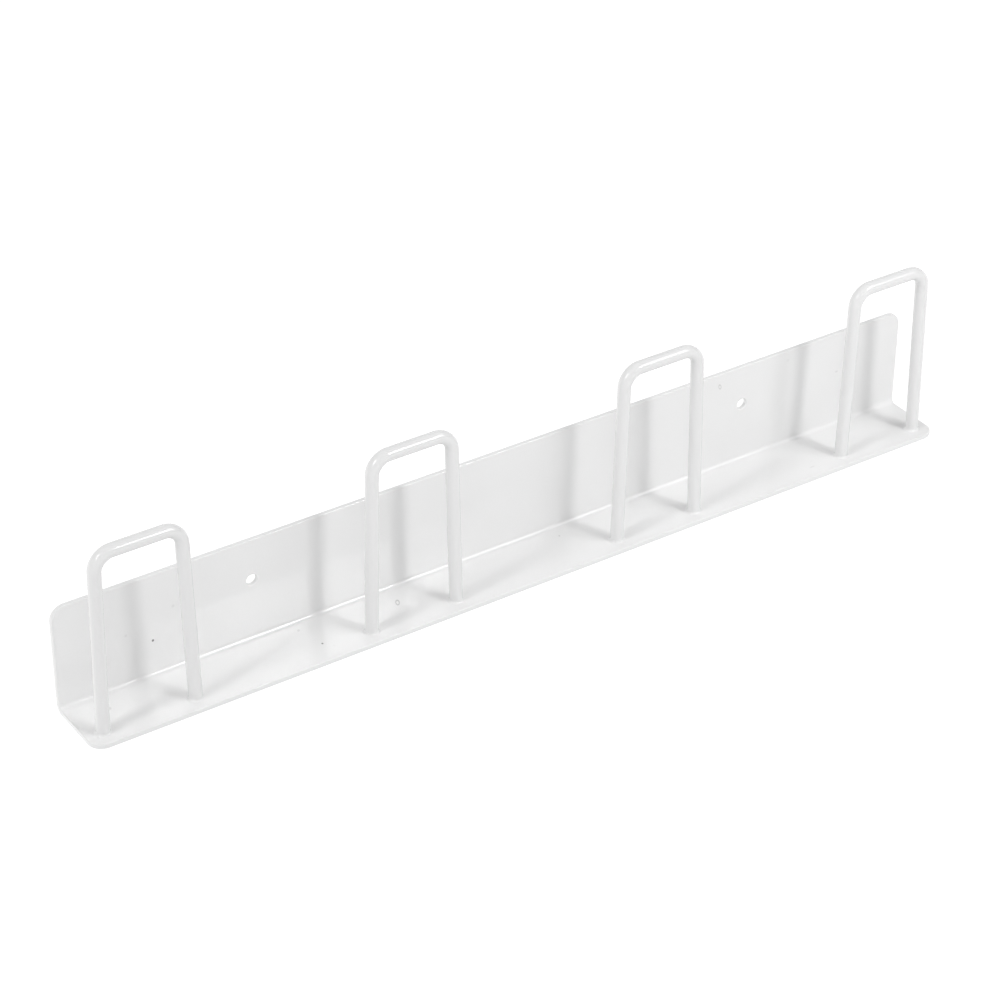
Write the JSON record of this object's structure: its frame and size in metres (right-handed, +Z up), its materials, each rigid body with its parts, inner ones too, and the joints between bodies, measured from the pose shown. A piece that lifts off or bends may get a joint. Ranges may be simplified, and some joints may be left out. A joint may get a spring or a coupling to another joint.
{
  "type": "cable tray",
  "caption": "White steel cable tray: an upright screw plate bent into a narrow shelf, with rod loops welded along the shelf's front to hold cables in.",
  "frame": {"origin": "middle of the underside, under the centre of the whole object", "axes": "+X along the tray, +Y towards the surface it is screwed to, +Z up"},
  "size_m": [0.6, 0.046, 0.123],
  "materials": {
    "sheet_coat": "smooth satin white powder coat on bent sheet steel",
    "rod_coat": "smooth satin white powder coat on bent steel rod",
    "weld_coat": "white powder coat over a small, slightly uneven fillet weld"
  },
  "bodies": {
    "root": {"sheet_tray": "sheet_coat", "loop_1": "rod_coat", "loop_2": "rod_coat", "loop_3": "rod_coat", "loop_4": "rod_coat", "weld_1_left": "weld_coat", "weld_1_right": "weld_coat", "weld_2_left": "weld_coat", "weld_2_right": "weld_coat", "weld_3_left": "weld_coat", "weld_3_right": "weld_coat", "weld_4_left": "weld_coat", "weld_4_right": "weld_coat"}
  },
  "joints": []
}
